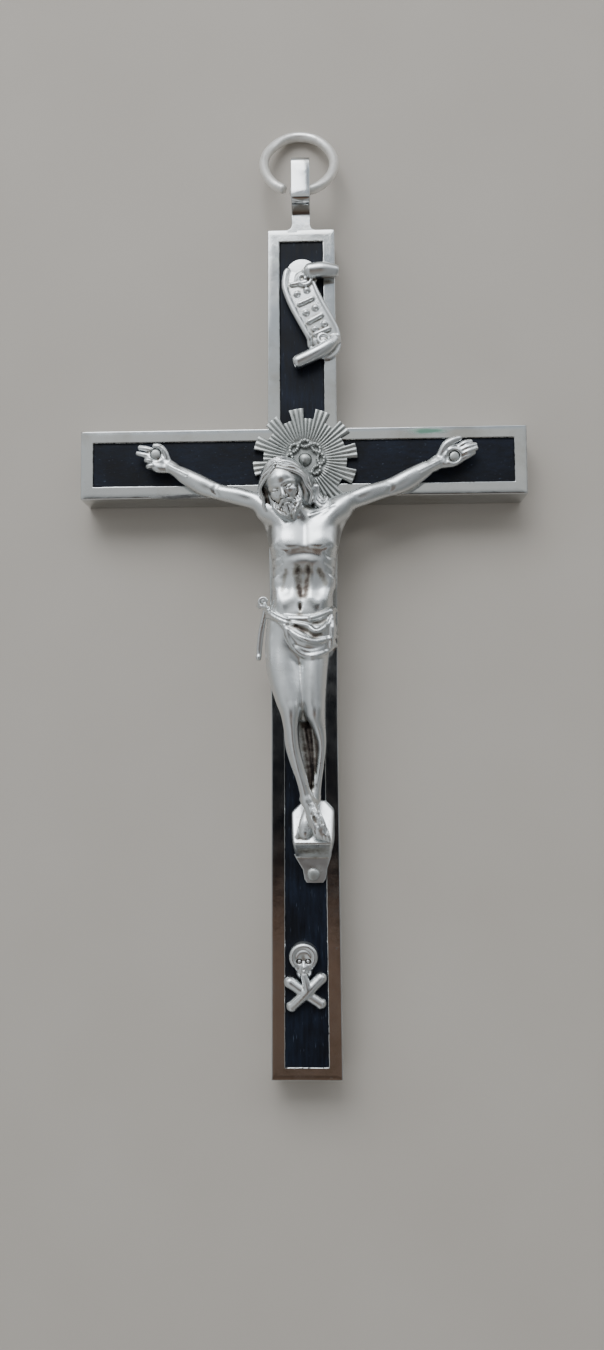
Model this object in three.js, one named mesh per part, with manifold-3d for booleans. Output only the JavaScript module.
// Hand-held crucifix: a nickel-plated channel frame round a black wood cross. It carries a cast
// figure, a sunburst halo, a title scroll and a skull with crossed bones. A ring hangs in the eye.
// Millimetres: +X right, +Y up the cross, +Z out of the front. The origin is on the back face where
// the limbs cross. Left and right are the viewer's.
import * as THREE from 'three';
import { mergeVertices } from 'three/addons/utils/BufferGeometryUtils.js';
import Module from 'manifold-3d';

const wasm = await Module();
wasm.setup();

// Cross: outline, channel section and wood
const crossbarLength = 65.6;
const headReach = 35.2;
const footReach = 88.7;
const armWidth = 10.2;
const headWidth = 9.95;
const crossingWidth = 10.2;
const waistWidth = 9.65;
const footWidth = 10.2;
const waistShare = 0.43;
const frameThickness = 6;
const channelWall = 0.6;
const lipWidth = 1.85;
const edgeRadius = 0.55;
const edgeSteps = 3;
const inlayRecess = 0.25;
const woodClearance = 0.06;
const overrun = 1;

// Tongue, strap and eye at the top of the frame
const tongueWidth = 2.75;
const tongueReach = 2.5;
const tongueFillet = 0.7;
const filletSteps = 5;
const strapThickness = 0.55;
const strapRise = 1.15;
const eyeLength = 6.85;
const eyeClearance = 0.38;
const lowerLegShare = 0.8;
const curlSteps = 8;

// Suspension ring, an oval of round wire cut open beside the eye
const ringWire = 1.45;
const ringWidth = 12.1;
const ringLength = 15;
const ringSeat = 1.75;
const ringShift = 0.3;
const ringCutStart = 1.25;
const ringCutGap = 0.8;
const ringSteps = 38;
const wireSides = 8;

// Fasteners: pins and pegs driven into blind holes in the wood
const shankRadius = 0.42;
const fitClearance = 0.12;
const pinFoot = 1.2;
const pinEndGap = 0.15;
const roundSides = 12;
const turnedSides = 16;
const domeSteps = 3;
const haloRivetRadius = 1;
const haloRivetHeight = 0.75;
const nailHeadRadius = 0.72;
const nailHeadHeight = 0.4;
const footRivetRadius = 0.92;
const footRivetHeight = 0.4;

// Halo
const haloRadius = 7.7;
const haloShortRadius = 6.15;
const haloPlate = 0.45;
const fluteDepth = 0.28;
const haloCentreX = 0.37;
const haloCentreY = 0.29;
const toothCount = 12;
const toothShare = 0.55;
const toothEdgeShare = 0.03;
const flutesPerTooth = 4;
const firstToothTurnShare = 0.027;
const wreathRadius = 2.4;
const wreathBulge = 0.5;
const wreathStrand = 0.26;
const wreathTwists = 4;
const wreathSteps = 40;
const wreathSides = 4;
const haloRelief = 0.2;

// Title scroll, whose places are shares of its length
const scrollLength = 16;
const scrollThickness = 0.75;
const scrollArch = 0.3;
const scrollLift = 0.06;
const seatShare = 0.8;
const scrollSteps = 14;
const scrollPlaceShare = 0.63;
const rollSides = 8;
const scrollShiftShare = 0.106;

// Skull and crossed bones, whose places are shares of its height
const emblemHeight = 9.4;
const emblemDepth = 1.7;
const jawDepthShare = 0.75;
const skullSides = 12;
const smallSides = 8;

// Figure: the casting's places and radii are shares of its height from crown to ankles
const figureHeight = 50;
const tabThickness = 0.5;
const nailSeatShare = 0.027;
const torsoSides = 14;
const torsoSquareShare = 0.13;
const legSides = 10;
const limbSides = 8;
const fineSides = 5;
const toeSides = 5;
const clothSides = 20;
const muscleSides = 10;

// Head, whose features are shares of its length, tilted to the left and bowed
const headLength = 6.6;
const headPlaceShares = [-0.05, -0.096, 0.091];
const headUpShares = [-0.2, 0.93, 0.3];
const headFrontShares = [-0.2, -0.28, 0.94];

const frontFace = frameThickness;
const woodFace = frameThickness - inlayRecess;

// Closed meshes and booleans
function outwardIndex(positions, index) {
  const corner = (i) => new THREE.Vector3().fromArray(positions, index[i] * 3);
  let volume = 0;
  for (let i = 0; i < index.length; i += 3) volume += corner(i).dot(corner(i + 1).cross(corner(i + 2)));
  if (volume > 0) return index;
  return index.map((unused, i) => index[i % 3 === 0 ? i : i + (i % 3 === 1 ? 1 : -1)]);
}

function solid(geometry) {
  const bare = geometry.clone();
  bare.deleteAttribute('normal');
  bare.deleteAttribute('uv');
  const merged = mergeVertices(bare);
  const vertProperties = new Float32Array(merged.attributes.position.array);
  const triVerts = outwardIndex(vertProperties, new Uint32Array(merged.index.array));
  return new wasm.Manifold(new wasm.Mesh({ numProp: 3, vertProperties, triVerts }));
}

function geometryOf(shape) {
  const mesh = shape.getMesh();
  const geometry = new THREE.BufferGeometry();
  geometry.setAttribute('position', new THREE.BufferAttribute(mesh.vertProperties, mesh.numProp));
  geometry.setIndex(new THREE.BufferAttribute(mesh.triVerts, 1));
  geometry.computeVertexNormals();
  return geometry;
}

function joined(shapes) {
  return shapes.reduce((whole, shape) => whole.add(shape));
}

function closedSurface(points, index) {
  const geometry = new THREE.BufferGeometry().setFromPoints(points);
  geometry.setIndex(index);
  return solid(geometry);
}

// Index of the bands between equal rings of points; wrapped joins the last ring to the first
function bandIndex(ringCount, sides, wrapped) {
  const index = [];
  const bands = wrapped ? ringCount : ringCount - 1;
  for (let band = 0; band < bands; band += 1) {
    const low = band * sides;
    const high = ((band + 1) % ringCount) * sides;
    for (let side = 0; side < sides; side += 1) {
      const next = (side + 1) % sides;
      index.push(low + side, low + next, high + next, low + side, high + next, high + side);
    }
  }
  return index;
}

// Skin over a stack of rings, closed with a fan to a pole at each end
function loftRings(rings, poles) {
  const sides = rings[0].length;
  const last = (rings.length - 1) * sides;
  const points = [...rings.flat(), ...poles];
  const firstPole = rings.length * sides;
  const index = bandIndex(rings.length, sides, false);
  for (let side = 0; side < sides; side += 1) {
    const next = (side + 1) % sides;
    index.push(firstPole, next, side, firstPole + 1, last + side, last + next);
  }
  return closedSurface(points, index);
}

function middleOf(points) {
  const sum = points.reduce((total, point) => total.add(point), new THREE.Vector3());
  return sum.divideScalar(points.length);
}

// Level direction to the right of a line that runs along the face
function acrossOf(direction) {
  return new THREE.Vector3().crossVectors(direction, new THREE.Vector3(0, 0, 1)).normalize();
}

// Oval ring of points square to a direction; a square share above 0 draws it towards a rectangle
function ovalRing(centre, direction, wide, deep, sides, squareShare = 0) {
  const power = 2 / (1 - squareShare);
  const across = acrossOf(direction);
  const up = new THREE.Vector3().crossVectors(across, direction).normalize();
  return Array.from({ length: sides }, (unused, side) => {
    const angle = (side / sides) * Math.PI * 2;
    const cos = Math.cos(angle);
    const sin = Math.sin(angle);
    const reach = (Math.abs(cos) ** power + Math.abs(sin) ** power) ** (-1 / power);
    const point = centre.clone().addScaledVector(across, wide * cos * reach);
    return point.addScaledVector(up, deep * sin * reach);
  });
}

// Round-ended limb through stations of { at, wide, deep }, smooth in place and in girth
function limb(stations, sides, stepsPerSpan, squareShare = 0) {
  const spine = new THREE.CatmullRomCurve3(stations.map(({ at }) => at));
  const sizes = stations.map(({ wide, deep }) => new THREE.Vector3(wide, deep, 0));
  const girth = new THREE.CatmullRomCurve3(sizes);
  const steps = (stations.length - 1) * stepsPerSpan;
  const ringAt = (t, slide, share) => {
    const size = girth.getPoint(t);
    const direction = spine.getTangent(t);
    const end = Math.min(size.x, size.y) * slide;
    const centre = spine.getPoint(t).addScaledVector(direction, end);
    return ovalRing(centre, direction, size.x * share, size.y * share, sides, squareShare);
  };
  const poleAt = (t, way) => {
    const size = girth.getPoint(t);
    return spine.getPoint(t).addScaledVector(spine.getTangent(t), Math.min(size.x, size.y) * way);
  };
  const capShare = Math.SQRT1_2;
  const body = Array.from({ length: steps + 1 }, (unused, step) => ringAt(step / steps, 0, 1));
  const rings = [ringAt(0, -capShare, capShare), ...body, ringAt(1, capShare, capShare)];
  return loftRings(rings, [poleAt(0, -1), poleAt(1, 1)]);
}

function plate(points, low, high) {
  const shape = new THREE.Shape(points.map(([x, y]) => new THREE.Vector2(x, y)));
  const geometry = new THREE.ExtrudeGeometry(shape, { depth: high - low, bevelEnabled: false });
  return solid(geometry.translate(0, 0, low));
}

// Side outline in (y, z), drawn out along X about the middle
function sidePlate(points, middle, width) {
  const shape = new THREE.Shape(points.map(([y, z]) => new THREE.Vector2(y, z)));
  const geometry = new THREE.ExtrudeGeometry(shape, { depth: width, bevelEnabled: false });
  const turn = new THREE.Matrix4().set(0, 0, 1, middle - width / 2, 1, 0, 0, 0, 0, 1, 0, 0, 0, 0, 0, 1);
  return solid(geometry.applyMatrix4(turn));
}

function mirrored(rows) {
  return rows.map(([x, ...rest]) => [-x, ...rest]);
}

function rectangle(halfX, halfY) {
  return [[halfX, halfY], [-halfX, halfY], [-halfX, -halfY], [halfX, -halfY]];
}

function cylinder(x, y, radius, low, high) {
  const geometry = new THREE.CylinderGeometry(radius, radius, high - low, roundSides);
  return solid(geometry.rotateX(Math.PI / 2).translate(x, y, (low + high) / 2));
}

function ellipsoid(centre, radii, sides, turn = new THREE.Quaternion()) {
  const geometry = new THREE.SphereGeometry(1, sides, sides / 2 + 2);
  return solid(geometry.applyMatrix4(new THREE.Matrix4().compose(centre, turn, radii)));
}

function turned(profile, x, y) {
  const points = profile.map(([radius, z]) => new THREE.Vector2(radius, z));
  const geometry = new THREE.LatheGeometry(points, turnedSides).rotateX(Math.PI / 2);
  return solid(geometry.translate(x, y, 0));
}

// Channel frame
function crossOutline(inset) {
  const armEnd = crossbarLength / 2 - inset;
  const armTop = armWidth / 2 - inset;
  const crossing = crossingWidth / 2 - inset;
  const right = [
    [headWidth / 2 - inset, headReach - inset],
    [crossing, armTop],
    [armEnd, armTop],
    [armEnd, -armTop],
    [crossing, -armTop],
    [waistWidth / 2 - inset, -waistShare * footReach],
    [footWidth / 2 - inset, inset - footReach],
  ];
  return [...right, ...mirrored(right).reverse()];
}

// Channel section as (inset, z): a wall with a lip before and behind, its outer edges rounded
function channelSection() {
  const arc = Array.from({ length: edgeSteps + 1 }, (unused, step) => {
    const angle = (step / edgeSteps) * (Math.PI / 2);
    return [edgeRadius * (1 - Math.sin(angle)), edgeRadius * (1 - Math.cos(angle))];
  });
  const lip = [[lipWidth, 0], [lipWidth, channelWall], [channelWall, channelWall]];
  const half = [...arc.slice().reverse(), ...lip];
  const front = half.map(([inset, z]) => [inset, frameThickness - z]);
  return [...half.slice().reverse(), ...front];
}

function mitredSweep(section) {
  const ring = ([inset, z]) => crossOutline(inset).map(([x, y]) => new THREE.Vector3(x, y, z));
  const rings = section.map(ring);
  return closedSurface(rings.flat(), bandIndex(rings.length, rings[0].length, true));
}

// Plan of the tongue: straight sides with a fillet into the frame's top edge
function tonguePlan() {
  const half = tongueWidth / 2;
  const fillet = Array.from({ length: filletSteps + 1 }, (unused, step) => {
    const angle = (step / filletSteps) * (Math.PI / 2);
    return [half + tongueFillet * (1 - Math.sin(angle)), headReach + tongueFillet * (1 - Math.cos(angle))];
  });
  const right = [[half + tongueFillet, headReach - edgeRadius], ...fillet, [half, headReach + tongueReach]];
  return [...right, ...mirrored(right).reverse()];
}

const eyeHeight = ringWire + 2 * eyeClearance;
const lowerLegZ = frontFace - channelWall;
const eyeCentreZ = lowerLegZ + strapThickness / 2 + eyeHeight / 2;
const upperLegZ = eyeCentreZ + eyeHeight / 2 + strapThickness / 2;
const eyeStart = headReach + tongueReach + strapRise;
const eyeEnd = eyeStart + eyeLength;

// Middle line of the strap in (y, z): off the tongue, up a slope, along, round and back beneath
function strapLine() {
  const bend = headReach + tongueReach;
  const tongueZ = frontFace - strapThickness / 2;
  const curlRadius = (upperLegZ - lowerLegZ) / 2;
  const curlY = eyeEnd - strapThickness / 2 - curlRadius;
  const curl = Array.from({ length: curlSteps + 1 }, (unused, step) => {
    const angle = Math.PI / 2 - (step / curlSteps) * Math.PI;
    return [curlY + curlRadius * Math.cos(angle), eyeCentreZ + curlRadius * Math.sin(angle)];
  });
  const lowerEnd = [curlY - lowerLegShare * (curlY - eyeStart), lowerLegZ];
  const slope = [[bend - strapThickness, tongueZ], [bend, tongueZ], [eyeStart, upperLegZ]];
  const line = [...slope, ...curl, lowerEnd];
  return line.map(([y, z]) => new THREE.Vector2(y, z));
}

// Closed outline of a strip of even thickness along a middle line
function stripOutline(line, thickness) {
  const normals = line.slice(1).map((point, i) => {
    const along = point.clone().sub(line[i]).normalize();
    return new THREE.Vector2(-along.y, along.x);
  });
  const side = (way) => line.map((point, i) => {
    const before = normals[Math.max(i - 1, 0)];
    const after = normals[Math.min(i, normals.length - 1)];
    const mitre = before.clone().add(after).normalize();
    const reach = (way * thickness) / 2 / mitre.dot(after);
    return [point.x + mitre.x * reach, point.y + mitre.y * reach];
  });
  return [...side(1), ...side(-1).reverse()];
}

function channelFrame() {
  const tongue = plate(tonguePlan(), frontFace - strapThickness, frontFace);
  const strap = sidePlate(stripOutline(strapLine(), strapThickness), 0, tongueWidth);
  return joined([mitredSweep(channelSection()), tongue, strap]);
}

// Wood cross of two halved bars, each with a field raised between the lips
function woodCross() {
  const inset = channelWall + woodClearance;
  const body = plate(crossOutline(inset), inset, frameThickness - inset);
  const field = plate(crossOutline(lipWidth + woodClearance), 0, woodFace);
  const holes = joined(fastenings().map(({ x, y }) => shankHole(x, y)));
  return body.add(field).subtract(holes);
}

// Space of the cross bar: the whole arms, and the front half where it laps over the upright
function crossBarZone(margin) {
  const halfHeight = armWidth / 2 - channelWall - woodClearance + margin;
  const lap = crossingWidth / 2 - channelWall - woodClearance - margin;
  const arms = plate(rectangle(crossbarLength / 2, halfHeight), -overrun, frameThickness + overrun);
  return arms.subtract(plate(rectangle(lap, armWidth), -2 * overrun, frameThickness / 2 - margin));
}

function crossBar() {
  return woodCross().intersect(crossBarZone(0));
}

function uprightBar() {
  return woodCross().subtract(crossBarZone(woodClearance));
}

function shankHole(x, y) {
  return cylinder(x, y, shankRadius + fitClearance, pinFoot - pinEndGap, frameThickness + 2 * overrun);
}

function peg(x, y, top) {
  return cylinder(x, y, shankRadius, pinFoot, top);
}

// Turned fastener with a domed head
function rivet({ x, y, seat, radius, height }) {
  const dome = Array.from({ length: domeSteps }, (unused, step) => {
    const angle = (step / domeSteps) * (Math.PI / 2);
    return [radius * Math.cos(angle), seat + height * Math.sin(angle)];
  });
  const shank = [[0, pinFoot], [shankRadius, pinFoot], [shankRadius, seat]];
  return turned([...shank, ...dome, [0, seat + height]], x, y);
}

const haloRivet = {
  x: haloCentreX,
  y: haloCentreY,
  seat: frontFace + haloPlate,
  radius: haloRivetRadius,
  height: haloRivetHeight,
};
const leftNailShares = [-0.428, 0.022];
const rightNailShares = [0.44, 0.003];
const footRivetShares = [0.0226, -1.196];

function figureFastener([x, y], seat, radius, height) {
  return { x: x * figureHeight, y: y * figureHeight, seat, radius, height };
}

const nailSeat = frontFace + nailSeatShare * figureHeight;
const leftNail = figureFastener(leftNailShares, nailSeat, nailHeadRadius, nailHeadHeight);
const rightNail = figureFastener(rightNailShares, nailSeat, nailHeadRadius, nailHeadHeight);
const footSeat = frontFace + tabThickness;
const footRivet = figureFastener(footRivetShares, footSeat, footRivetRadius, footRivetHeight);

function fastenings() {
  return [haloRivet, leftNail, rightNail, footRivet, ...scrollPegs(), emblemPeg()];
}

// Halo: a fluted plate with long and short rays, and a wreath of two twisted strands
const wreathEdge = wreathRadius + wreathBulge + wreathStrand;
const rimShare = 1;
const fluteRunShare = 0.3;

function haloColumns() {
  const pitch = (Math.PI * 2) / toothCount;
  const samples = [];
  for (let tooth = 0; tooth < toothCount; tooth += 1) {
    const start = (tooth + toothShare / -2) * pitch + firstToothTurnShare * Math.PI * 2;
    for (let half = 0; half < flutesPerTooth * 2; half += 1) {
      const share = half / (flutesPerTooth * 2);
      const crest = half % 2;
      samples.push({ angle: start + share * pitch, long: share < toothShare, crest });
    }
    samples.push({ angle: start + (toothShare - toothEdgeShare) * pitch, long: true, crest: 0 });
    samples.push({ angle: start - toothEdgeShare * pitch, long: false, crest: 0 });
  }
  return samples.sort((a, b) => a.angle - b.angle);
}

function haloRing(share, z, flute) {
  return haloColumns().map(({ angle, long, crest }) => {
    const outer = long ? haloRadius : haloShortRadius;
    const reach = wreathEdge + (outer - wreathEdge) * share;
    const x = haloCentreX + reach * Math.cos(angle);
    return new THREE.Vector3(x, haloCentreY + reach * Math.sin(angle), z + crest * flute);
  });
}

function wreathStrandLoop(phase) {
  const rings = Array.from({ length: wreathSteps }, (unused, step) => {
    const turn = (step / wreathSteps) * Math.PI * 2;
    const twist = turn * wreathTwists + phase;
    const outward = new THREE.Vector3(Math.cos(turn), Math.sin(turn), 0);
    const centre = new THREE.Vector3(haloCentreX, haloCentreY, frontFace + haloPlate + wreathStrand / 2);
    centre.addScaledVector(outward, wreathRadius + wreathBulge * Math.cos(twist));
    centre.z += wreathStrand * Math.sin(twist);
    const along = new THREE.Vector3(-outward.y, outward.x, 0);
    return ovalRing(centre, along, wreathStrand, wreathStrand, wreathSides);
  });
  return closedSurface(rings.flat(), bandIndex(rings.length, wreathSides, true));
}

function halo() {
  const top = frontFace + haloPlate;
  const rings = [
    haloRing(rimShare, frontFace, 0),
    haloRing(rimShare, top - fluteDepth / 2, fluteDepth),
    haloRing(fluteRunShare, top - fluteDepth / 2, fluteDepth),
    haloRing(0, top, 0),
  ];
  const low = new THREE.Vector3(haloCentreX, haloCentreY, frontFace);
  const high = new THREE.Vector3(haloCentreX, haloCentreY, top);
  const disc = loftRings(rings, [low, high]);
  const wreath = [wreathStrandLoop(0), wreathStrandLoop(Math.PI)];
  return joined([disc, ...wreath]).subtract(shankHole(haloCentreX, haloCentreY));
}

// Space kept clear of the figure's neck and hair: over the plate, the wreath and the rivet
function haloClearance() {
  const plateTop = frontFace + haloPlate + fluteDepth / 2 + haloRelief;
  const wreathTop = frontFace + haloPlate + 2 * wreathStrand + haloRelief;
  const rivetTop = haloRivet.seat + haloRivetHeight + haloRelief;
  const rivetEdge = haloRivetRadius + haloRelief;
  const profile = [
    [0, frontFace - overrun],
    [haloRadius + haloRelief, frontFace - overrun],
    [haloRadius + haloRelief, plateTop],
    [wreathEdge + haloRelief, plateTop],
    [wreathEdge + haloRelief, wreathTop],
    [rivetEdge, wreathTop],
    [rivetEdge, rivetTop],
    [0, rivetTop],
  ];
  return turned(profile, haloCentreX, haloCentreY);
}

// Title scroll: an arched band in an S with a rolled end above and below
const scrollBandShares = [
  [-0.09, 0.385],
  [-0.11, 0.31],
  [-0.055, 0.12],
  [0.022, -0.044],
  [0.084, -0.194],
  [0.07, -0.32],
];
const scrollBandWidthShare = 0.15;
const scrollTopRollShares = [[-0.12, 0.4, 0.08], [0.05, 0.405, 0.078], [0.2, 0.4, 0.056]];
const scrollFootRollShares = [[-0.12, -0.44, 0.07], [0.02, -0.39, 0.066], [0.13, -0.33, 0.056]];
const scrollPegShares = [[-0.045, 0.24], [0.02, -0.17]];

const haloTop = haloCentreY + haloRadius;
const scrollX = scrollShiftShare * scrollLength;
const scrollRoom = headReach - lipWidth - haloTop - scrollLength;
const scrollY = haloTop + scrollPlaceShare * scrollRoom + scrollLength / 2;

function scrollPoint([x, y], z) {
  return new THREE.Vector3(scrollX + x * scrollLength, scrollY + y * scrollLength, z);
}

function scrollPegs() {
  return scrollPegShares.map((place) => scrollPoint(place, 0));
}

// Section of the band as (across, up) shares of its half width and thickness, with raised borders
const scrollHalfShares = [[0.7, 0.6], [0.82, 1], [1, 1], [1, 0]];
const scrollSectionShares = [...mirrored(scrollHalfShares).reverse(), ...scrollHalfShares];

function scrollBand() {
  const places = scrollBandShares.map((place) => scrollPoint(place, frontFace + scrollLift));
  const line = new THREE.CatmullRomCurve3(places);
  const halfWidth = scrollBandWidthShare * scrollLength;
  const rings = Array.from({ length: scrollSteps + 1 }, (unused, step) => {
    const t = step / scrollSteps;
    const lift = scrollArch * Math.sin(t * Math.PI);
    const across = acrossOf(line.getTangent(t));
    return scrollSectionShares.map(([side, up]) => {
      const point = line.getPoint(t).addScaledVector(across, side * halfWidth);
      point.z += lift + up * scrollThickness;
      return point;
    });
  });
  return loftRings(rings, [middleOf(rings[0]), middleOf(rings[scrollSteps])]);
}

function scrollRoll(shares) {
  const stations = shares.map(([x, y, radiusShare]) => {
    const radius = radiusShare * scrollLength;
    return { at: scrollPoint([x, y], frontFace + radius * seatShare), wide: radius, deep: radius };
  });
  return limb(stations, rollSides, 2);
}

function titleScroll() {
  const rolls = [scrollTopRollShares, scrollFootRollShares].map(scrollRoll);
  const front = joined([scrollBand(), ...rolls]);
  const pegs = scrollPegs().map(({ x, y }) => peg(x, y, frontFace + scrollThickness / 2));
  return joined([front.subtract(behind(frontFace)), ...pegs]);
}

// Everything behind a level, as a cutting block
function behind(level) {
  const block = rectangle(crossbarLength, footReach * 2);
  return plate(block, level - frameThickness * 2, level);
}

// Skull and crossed bones, seated on the wood between the foot of the casting and the foot lip
const tabEndShare = -1.22;
const emblemY = (tabEndShare * figureHeight - footReach + lipWidth) / 2;
const emblemPegShares = [-0.035, 0.08];
const craniumShares = { at: [-0.037, 0.28], radii: [0.222, 0.217] };
const jawShares = { at: [-0.035, -0.01], radii: [0.14, 0.2] };
const socketShares = [[-0.115, 0.19, 0.05], [0.045, 0.195, 0.05], [-0.035, 0.105, 0.032]];
const boneShares = [
  [[-0.262, -0.085], [0.25, -0.405]],
  [[0.245, -0.03], [-0.262, -0.455]],
];
const boneRadiusShare = 0.06;
const boneKnobShare = 0.072;

function emblemPoint([x, y], z) {
  return new THREE.Vector3(x * emblemHeight, emblemY + y * emblemHeight, z);
}

function emblemPeg() {
  return emblemPoint(emblemPegShares, 0);
}

function skullPart({ at, radii: [wide, high] }, depth) {
  const radii = new THREE.Vector3(wide * emblemHeight, high * emblemHeight, depth);
  return ellipsoid(emblemPoint(at, woodFace), radii, skullSides);
}

function crossedBone(ends) {
  const radius = boneRadiusShare * emblemHeight;
  const knob = boneKnobShare * emblemHeight;
  const knobSize = new THREE.Vector3(knob, knob, knob);
  const places = ends.map((place) => emblemPoint(place, woodFace + radius * seatShare));
  const shaft = limb(places.map((at) => ({ at, wide: radius, deep: radius })), fineSides, 1);
  return joined([shaft, ...places.map((place) => ellipsoid(place, knobSize, smallSides))]);
}

function socket([x, y, radiusShare]) {
  const radius = radiusShare * emblemHeight;
  const size = new THREE.Vector3(radius, radius, emblemDepth / 2);
  return ellipsoid(emblemPoint([x, y], woodFace + emblemDepth), size, smallSides);
}

function skullAndBones() {
  const jaw = skullPart(jawShares, emblemDepth * jawDepthShare);
  const mask = skullPart(craniumShares, emblemDepth).add(jaw);
  const face = mask.subtract(joined(socketShares.map(socket)));
  const front = joined([face, ...boneShares.map(crossedBone)]).subtract(behind(woodFace));
  const { x, y } = emblemPeg();
  return front.add(peg(x, y, woodFace + emblemDepth / 2));
}

// Figure: tables hold [x, y, z, half width, half depth] as shares of the figure's height
function figureLimb(rows, sides, stepsPerSpan, squareShare) {
  const stations = rows.map(([x, y, z, wide, deep]) => ({
    at: new THREE.Vector3(x * figureHeight, y * figureHeight, frontFace + z * figureHeight),
    wide: wide * figureHeight,
    deep: deep * figureHeight,
  }));
  return limb(stations, sides, stepsPerSpan, squareShare);
}

const torsoShares = [
  [0.004, -0.158, 0.054, 0.05, 0.03],
  [0.006, -0.18, 0.048, 0.09, 0.04],
  [0.005, -0.212, 0.046, 0.098, 0.047],
  [0.003, -0.25, 0.046, 0.096, 0.048],
  [0.003, -0.29, 0.044, 0.092, 0.044],
  [0.002, -0.335, 0.043, 0.089, 0.042],
  [0.001, -0.365, 0.042, 0.087, 0.038],
  [0, -0.392, 0.042, 0.0855, 0.035],
  [-0.005, -0.43, 0.043, 0.089, 0.04],
  [-0.01, -0.47, 0.045, 0.094, 0.044],
  [-0.012, -0.52, 0.046, 0.094, 0.045],
  [-0.012, -0.56, 0.046, 0.075, 0.04],
];
const chestShares = [
  { at: [-0.034, -0.216, 0.066], radii: [0.052, 0.04, 0.029] },
  { at: [0.05, -0.213, 0.066], radii: [0.052, 0.04, 0.029] },
  { at: [-0.004, -0.422, 0.064], radii: [0.052, 0.048, 0.022] },
];
const neckShares = [
  [0.004, -0.178, 0.058, 0.034, 0.028],
  [-0.016, -0.14, 0.072, 0.028, 0.026],
  [-0.034, -0.115, 0.082, 0.028, 0.028],
];
const leftArmShares = [
  [-0.08, -0.172, 0.05, 0.03, 0.03],
  [-0.122, -0.138, 0.051, 0.0265, 0.027],
  [-0.196, -0.112, 0.044, 0.0225, 0.023],
  [-0.244, -0.096, 0.039, 0.0205, 0.021],
  [-0.278, -0.085, 0.037, 0.0215, 0.021],
  [-0.312, -0.064, 0.034, 0.0225, 0.021],
  [-0.35, -0.04, 0.03, 0.0185, 0.018],
  [-0.382, -0.02, 0.026, 0.0145, 0.013],
];
const rightArmShares = [
  [0.09, -0.168, 0.05, 0.032, 0.031],
  [0.122, -0.136, 0.051, 0.0285, 0.028],
  [0.18, -0.118, 0.044, 0.0255, 0.025],
  [0.23, -0.104, 0.04, 0.0235, 0.023],
  [0.268, -0.088, 0.037, 0.024, 0.023],
  [0.308, -0.068, 0.034, 0.0245, 0.023],
  [0.346, -0.044, 0.03, 0.021, 0.019],
  [0.38, -0.022, 0.026, 0.017, 0.014],
];
const palmShares = [
  [
    [-0.378, -0.022, 0.026, 0.0145, 0.013],
    [-0.404, -0.006, 0.023, 0.021, 0.013],
    [-0.43, 0.01, 0.021, 0.03, 0.013],
    [-0.448, 0.014, 0.02, 0.027, 0.012],
  ],
  [
    [0.376, -0.024, 0.026, 0.017, 0.014],
    [0.402, -0.004, 0.023, 0.024, 0.013],
    [0.436, 0.01, 0.021, 0.032, 0.013],
    [0.456, 0.012, 0.02, 0.028, 0.012],
  ],
];
const fingerShares = [
  [[-0.442, 0.034, 0.024], [-0.462, 0.042, 0.024], [-0.48, 0.047, 0.022]],
  [[-0.446, 0.019, 0.024], [-0.466, 0.026, 0.024], [-0.483, 0.031, 0.022]],
  [[-0.45, 0.004, 0.022], [-0.464, 0.003, 0.03], [-0.452, 0, 0.036]],
  [[-0.446, -0.012, 0.022], [-0.458, -0.015, 0.028], [-0.446, -0.015, 0.034]],
  [[-0.4, 0.014, 0.026], [-0.414, 0.038, 0.03], [-0.428, 0.05, 0.028]],
  [[0.45, 0.036, 0.024], [0.474, 0.046, 0.026], [0.494, 0.05, 0.022]],
  [[0.454, 0.021, 0.024], [0.482, 0.03, 0.027], [0.506, 0.034, 0.022]],
  [[0.456, 0.006, 0.024], [0.482, 0.014, 0.026], [0.504, 0.019, 0.022]],
  [[0.452, -0.01, 0.022], [0.472, -0.004, 0.024], [0.488, 0.001, 0.021]],
  [[0.396, 0.014, 0.026], [0.42, 0.042, 0.03], [0.446, 0.057, 0.028]],
];
const fingerRadiusShare = 0.0078;
const leftLegShares = [
  [-0.052, -0.5, 0.046, 0.05, 0.046],
  [-0.058, -0.56, 0.05, 0.048, 0.046],
  [-0.05, -0.62, 0.056, 0.042, 0.041],
  [-0.04, -0.69, 0.064, 0.034, 0.035],
  [-0.028, -0.735, 0.071, 0.03, 0.031],
  [-0.022, -0.775, 0.068, 0.028, 0.028],
  [-0.018, -0.83, 0.062, 0.03, 0.028],
  [-0.01, -0.89, 0.06, 0.024, 0.023],
  [0.0, -0.955, 0.06, 0.0185, 0.019],
  [0.005, -0.985, 0.062, 0.0185, 0.019],
];
const rightLegShares = [
  [0.038, -0.5, 0.046, 0.048, 0.046],
  [0.036, -0.56, 0.052, 0.045, 0.044],
  [0.028, -0.62, 0.058, 0.039, 0.039],
  [0.026, -0.69, 0.063, 0.033, 0.034],
  [0.029, -0.738, 0.066, 0.03, 0.03],
  [0.036, -0.785, 0.058, 0.029, 0.028],
  [0.038, -0.83, 0.05, 0.028, 0.026],
  [0.036, -0.885, 0.044, 0.022, 0.022],
  [0.03, -0.945, 0.043, 0.0175, 0.018],
  [0.027, -0.975, 0.045, 0.0175, 0.018],
];
const footShares = [
  [
    [0.004, -0.972, 0.062, 0.019, 0.02],
    [0.016, -1.012, 0.072, 0.02, 0.017],
    [0.036, -1.06, 0.08, 0.025, 0.013],
    [0.046, -1.086, 0.078, 0.023, 0.009],
  ],
  [
    [0.028, -0.965, 0.045, 0.018, 0.019],
    [0.012, -1.008, 0.052, 0.02, 0.016],
    [-0.004, -1.046, 0.058, 0.022, 0.013],
    [-0.012, -1.07, 0.06, 0.02, 0.009],
  ],
];
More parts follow.
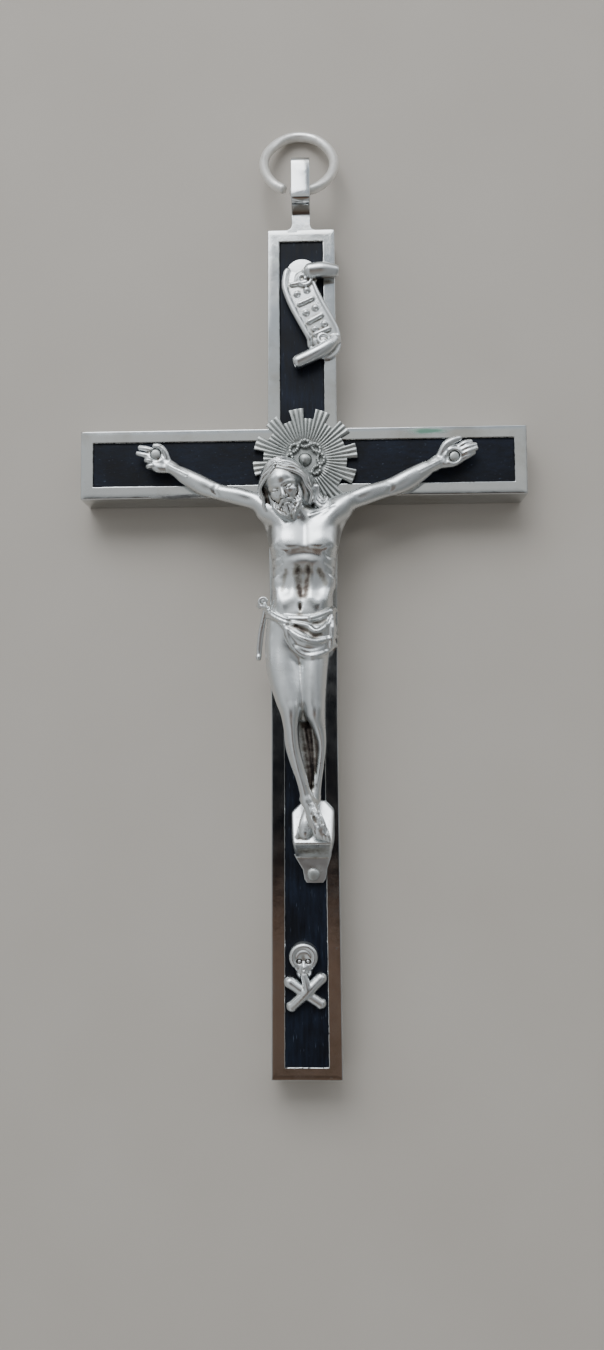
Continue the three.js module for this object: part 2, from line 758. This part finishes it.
const toeSpreadShares = [
  { from: [0.03, -1.084, 0.076], step: [0.0092, 0.0035, 0.0005], along: [0.006, -0.013, -0.003] },
  { from: [-0.027, -1.062, 0.058], step: [0.0085, -0.0035, 0.0005], along: [-0.004, -0.013, -0.002] },
];
const toeCount = 5;
const toeRadiusShare = 0.0055;
const blockPlanShares = [
  [-0.04, -1.005],
  [-0.024, -0.99],
  [0.062, -0.99],
  [0.082, -1.012],
  [0.084, -1.095],
  [0.07, -1.146],
  [-0.026, -1.146],
  [-0.04, -1.095],
];
const blockSideShares = [[-0.98, 0], [-0.985, 0.008], [-1.104, 0.066], [-1.148, 0.01], [-1.148, 0]];
const tabPlanShares = [
  [0.068, -1.13],
  [-0.022, -1.13],
  [-0.006, -1.18],
  [-0.001, -1.214],
  [0.005, -1.22],
  [0.048, -1.22],
  [0.054, -1.214],
  [0.056, -1.18],
];

const clothSkinShares = [
  [-0.012, -0.44, 0.046, 0.094, 0.052],
  [-0.012, -0.49, 0.047, 0.1, 0.056],
  [-0.013, -0.54, 0.048, 0.099, 0.057],
  [-0.012, -0.58, 0.05, 0.094, 0.055],
];
const clothPlanShares = [
  [-0.1, -0.448],
  [0.11, -0.43],
  [0.11, -0.556],
  [0.05, -0.572],
  [0.0, -0.578],
  [-0.026, -0.556],
  [-0.052, -0.524],
  [-0.07, -0.49],
];
const foldShares = [
  [
    [-0.11, -0.424, 0.04],
    [-0.088, -0.448, 0.074],
    [-0.05, -0.466, 0.094],
    [0.01, -0.47, 0.103],
    [0.06, -0.46, 0.093],
    [0.086, -0.448, 0.06],
  ],
  [[-0.048, -0.49, 0.096], [0.014, -0.512, 0.104], [0.056, -0.5, 0.092], [0.084, -0.478, 0.06]],
  [[-0.04, -0.508, 0.098], [0.016, -0.54, 0.104], [0.056, -0.536, 0.092], [0.084, -0.522, 0.058]],
  [[-0.03, -0.528, 0.099], [0.012, -0.566, 0.102], [0.056, -0.564, 0.092], [0.082, -0.554, 0.058]],
];
const foldRadiusShare = 0.0085;
const knotShares = [
  [-0.112, -0.416, 0.042, 0.013],
  [-0.119, -0.432, 0.038, 0.011],
  [-0.106, -0.437, 0.045, 0.01],
];
const looseEndShares = [
  [-0.115, -0.436, 0.036, 0.009, 0.008],
  [-0.119, -0.48, 0.03, 0.008, 0.008],
  [-0.127, -0.53, 0.024, 0.009, 0.008],
  [-0.131, -0.572, 0.018, 0.011, 0.008],
];

const headTurn = headQuaternion();
const headCentre = figurePlace(headPlaceShares);

function figurePlace([x, y, z]) {
  return new THREE.Vector3(x * figureHeight, y * figureHeight, frontFace + z * figureHeight);
}

function headQuaternion() {
  const up = new THREE.Vector3(...headUpShares).normalize();
  const front = new THREE.Vector3(...headFrontShares);
  const right = new THREE.Vector3().crossVectors(up, front).normalize();
  front.crossVectors(right, up);
  return new THREE.Quaternion().setFromRotationMatrix(new THREE.Matrix4().makeBasis(right, up, front));
}

function headPoint([x, y, z]) {
  return new THREE.Vector3(x, y, z).multiplyScalar(headLength).applyQuaternion(headTurn).add(headCentre);
}

// Head features as shares of the head's length: ovals { at, radii } and strands of [x, y, z, radius]
const headOvalShares = [
  { at: [0, 0.1, -0.06], radii: [0.35, 0.41, 0.42], sides: 12 },
  { at: [0, -0.16, 0.04], radii: [0.27, 0.34, 0.31], sides: 12 },
  { at: [0, 0.16, -0.15], radii: [0.42, 0.41, 0.41], sides: 12 },
  { at: [-0.125, 0.05, 0.3], radii: [0.07, 0.04, 0.05], sides: 8 },
  { at: [0.125, 0.05, 0.3], radii: [0.07, 0.04, 0.05], sides: 8 },
  { at: [0, -0.205, 0.335], radii: [0.065, 0.026, 0.035], sides: 8 },
];
const noseShares = [[0, 0.1, 0.325, 0.035], [0, 0, 0.385, 0.042], [0, -0.075, 0.405, 0.055]];
const browShares = [[0.22, 0.115, 0.24, 0.03], [0.11, 0.14, 0.31, 0.036], [0.02, 0.11, 0.34, 0.03]];
const moustacheShares = [
  [-0.15, -0.21, 0.24, 0.03],
  [-0.06, -0.145, 0.33, 0.04],
  [0.06, -0.145, 0.33, 0.04],
  [0.15, -0.21, 0.24, 0.03],
];
const beardShares = [
  [0.27, -0.06, 0.06, 0.08],
  [0.22, -0.28, 0.14, 0.1],
  [0.08, -0.44, 0.2, 0.1],
  [0.05, -0.56, 0.2, 0.05],
];
const hairShares = [
  [
    [0.02, 0.53, 0.08, 0.08],
    [-0.26, 0.44, 0.12, 0.1],
    [-0.41, 0.12, 0.06, 0.1],
    [-0.44, -0.2, 0, 0.1],
    [-0.4, -0.5, -0.08, 0.07],
  ],
  [
    [0, 0.5, -0.1, 0.08],
    [-0.34, 0.36, -0.06, 0.1],
    [-0.47, 0.04, -0.1, 0.11],
    [-0.5, -0.3, -0.14, 0.1],
    [-0.42, -0.62, -0.2, 0.06],
  ],
  [
    [0.04, 0.53, 0.08, 0.08],
    [0.26, 0.44, 0.12, 0.09],
    [0.4, 0.14, 0.06, 0.09],
    [0.42, -0.16, 0, 0.09],
    [0.42, -0.44, -0.1, 0.06],
  ],
  [
    [0.06, 0.5, -0.1, 0.08],
    [0.36, 0.32, -0.08, 0.09],
    [0.45, 0, -0.14, 0.09],
    [0.5, -0.26, -0.2, 0.08],
    [0.6, -0.42, -0.26, 0.06],
  ],
];

const headStrandShares = [
  noseShares,
  browShares,
  mirrored(browShares),
  moustacheShares,
  beardShares,
  mirrored(beardShares),
  ...hairShares,
];

function headSolids() {
  const ovals = headOvalShares.map(({ at, radii, sides }) => {
    const size = new THREE.Vector3(...radii).multiplyScalar(headLength);
    return ellipsoid(headPoint(at), size, sides, headTurn);
  });
  const strands = headStrandShares.map((rows) => {
    const stations = rows.map(([x, y, z, radius]) => {
      const size = radius * headLength;
      return { at: headPoint([x, y, z]), wide: size, deep: size };
    });
    return limb(stations, fineSides, 1);
  });
  return [...ovals, ...strands];
}

function toes({ from, step, along }) {
  return Array.from({ length: toeCount }, (unused, toe) => {
    const root = from.map((value, axis) => value + step[axis] * toe);
    const tip = root.map((value, axis) => value + along[axis]);
    const rows = [root, tip].map((place) => [...place, toeRadiusShare, toeRadiusShare]);
    return figureLimb(rows, toeSides, 1);
  });
}

function hands() {
  const palms = palmShares.map((rows) => figureLimb(rows, limbSides, 1));
  const fingers = fingerShares.map((places) => {
    const rows = places.map((place) => [...place, fingerRadiusShare, fingerRadiusShare]);
    return figureLimb(rows, fineSides, 1);
  });
  return [...palms, ...fingers];
}

function scaled(places) {
  return places.map(([x, y]) => [x * figureHeight, y * figureHeight]);
}

function footBlock() {
  const side = blockSideShares.map(([y, z]) => [y * figureHeight, frontFace + z * figureHeight]);
  const wedge = sidePlate(side, 0, crossbarLength);
  const plan = plate(scaled(blockPlanShares), frontFace, frontFace + figureHeight);
  const tab = plate(scaled(tabPlanShares), frontFace, frontFace + tabThickness);
  return wedge.intersect(plan).add(tab);
}

function loincloth() {
  const skin = figureLimb(clothSkinShares, clothSides, 1);
  const plan = plate(scaled(clothPlanShares), frontFace - overrun, frontFace + figureHeight);
  const radii = [foldRadiusShare, foldRadiusShare];
  const folds = foldShares.map((places) => {
    const rows = places.map((place) => [...place, ...radii]);
    return figureLimb(rows, fineSides, 1);
  });
  const knots = knotShares.map(([x, y, z, radius]) => {
    const size = radius * figureHeight;
    return ellipsoid(figurePlace([x, y, z]), new THREE.Vector3(size, size, size), smallSides);
  });
  return [skin.intersect(plan), ...folds, ...knots, figureLimb(looseEndShares, fineSides, 2)];
}

function torso() {
  const trunk = figureLimb(torsoShares, torsoSides, 1, torsoSquareShare);
  const muscles = chestShares.map(({ at, radii }) => {
    const size = new THREE.Vector3(...radii).multiplyScalar(figureHeight);
    return ellipsoid(figurePlace(at), size, muscleSides);
  });
  return [trunk, ...muscles, figureLimb(neckShares, limbSides, 1)];
}

function fastenerClearance({ x, y, seat, radius }) {
  const head = cylinder(x, y, radius + fitClearance, seat, seat + figureHeight);
  return head.add(shankHole(x, y));
}

function corpus() {
  const arms = [leftArmShares, rightArmShares].map((rows) => figureLimb(rows, limbSides, 2));
  const legs = [leftLegShares, rightLegShares].map((rows) => figureLimb(rows, legSides, 2));
  const feet = footShares.map((rows) => figureLimb(rows, limbSides, 1));
  const body = [...torso(), ...arms, ...hands(), ...legs, ...feet, ...toeSpreadShares.flatMap(toes)];
  const casting = joined([...body, footBlock(), ...loincloth(), ...headSolids()]);
  const fasteners = [leftNail, rightNail, footRivet].map(fastenerClearance);
  return casting.subtract(joined([behind(frontFace), haloClearance(), ...fasteners]));
}

// Ring: from the cut beside the eye, through the eye and round to the other side of the cut
const ringReach = ringLength - ringWire;
const ringSlope = Math.asin((eyeCentreZ - ringWire / 2) / ringReach);

function suspensionRing() {
  const halfWidth = (ringWidth - ringWire) / 2;
  const start = -Math.asin(ringCutStart / halfWidth);
  const end = Math.PI * 2 - Math.asin((ringCutStart + ringCutGap) / halfWidth);
  const points = Array.from({ length: ringSteps + 1 }, (unused, step) => {
    const angle = start + (step / ringSteps) * (end - start);
    return new THREE.Vector3(halfWidth * Math.sin(angle), (ringReach / 2) * (1 - Math.cos(angle)), 0);
  });
  const rings = points.map((point, i) => {
    const before = points[Math.max(i - 1, 0)];
    const after = points[Math.min(i + 1, points.length - 1)];
    const direction = after.clone().sub(before).normalize();
    return ovalRing(point, direction, ringWire / 2, ringWire / 2, wireSides);
  });
  return loftRings(rings, [points[0], points[points.length - 1]]);
}

const nickel = { color: 0xb9bcc0, metalness: 1, roughness: 0.28 };
const castNickel = { color: 0xa9abad, metalness: 1, roughness: 0.34 };
const ebony = { color: 0x14161c, metalness: 0, roughness: 0.55 };

function piece(name, shape, finish) {
  const mesh = new THREE.Mesh(geometryOf(shape), new THREE.MeshStandardMaterial(finish));
  mesh.name = name;
  return mesh;
}

const crucifix = new THREE.Group();
crucifix.add(
  piece('channel_frame', channelFrame(), nickel),
  piece('upright_bar', uprightBar(), ebony),
  piece('cross_bar', crossBar(), ebony),
  piece('corpus', corpus(), castNickel),
  piece('halo', halo(), castNickel),
  piece('halo_rivet', rivet(haloRivet), nickel),
  piece('hand_nail_left', rivet(leftNail), nickel),
  piece('hand_nail_right', rivet(rightNail), nickel),
  piece('foot_rivet', rivet(footRivet), nickel),
  piece('title_scroll', titleScroll(), castNickel),
  piece('skull_and_bones', skullAndBones(), castNickel),
);

const ring = piece('suspension_ring', suspensionRing(), nickel);
ring.position.set(-ringShift, eyeStart + ringSeat, eyeCentreZ);
ring.rotation.x = -ringSlope;
crucifix.add(ring);

export default crucifix;
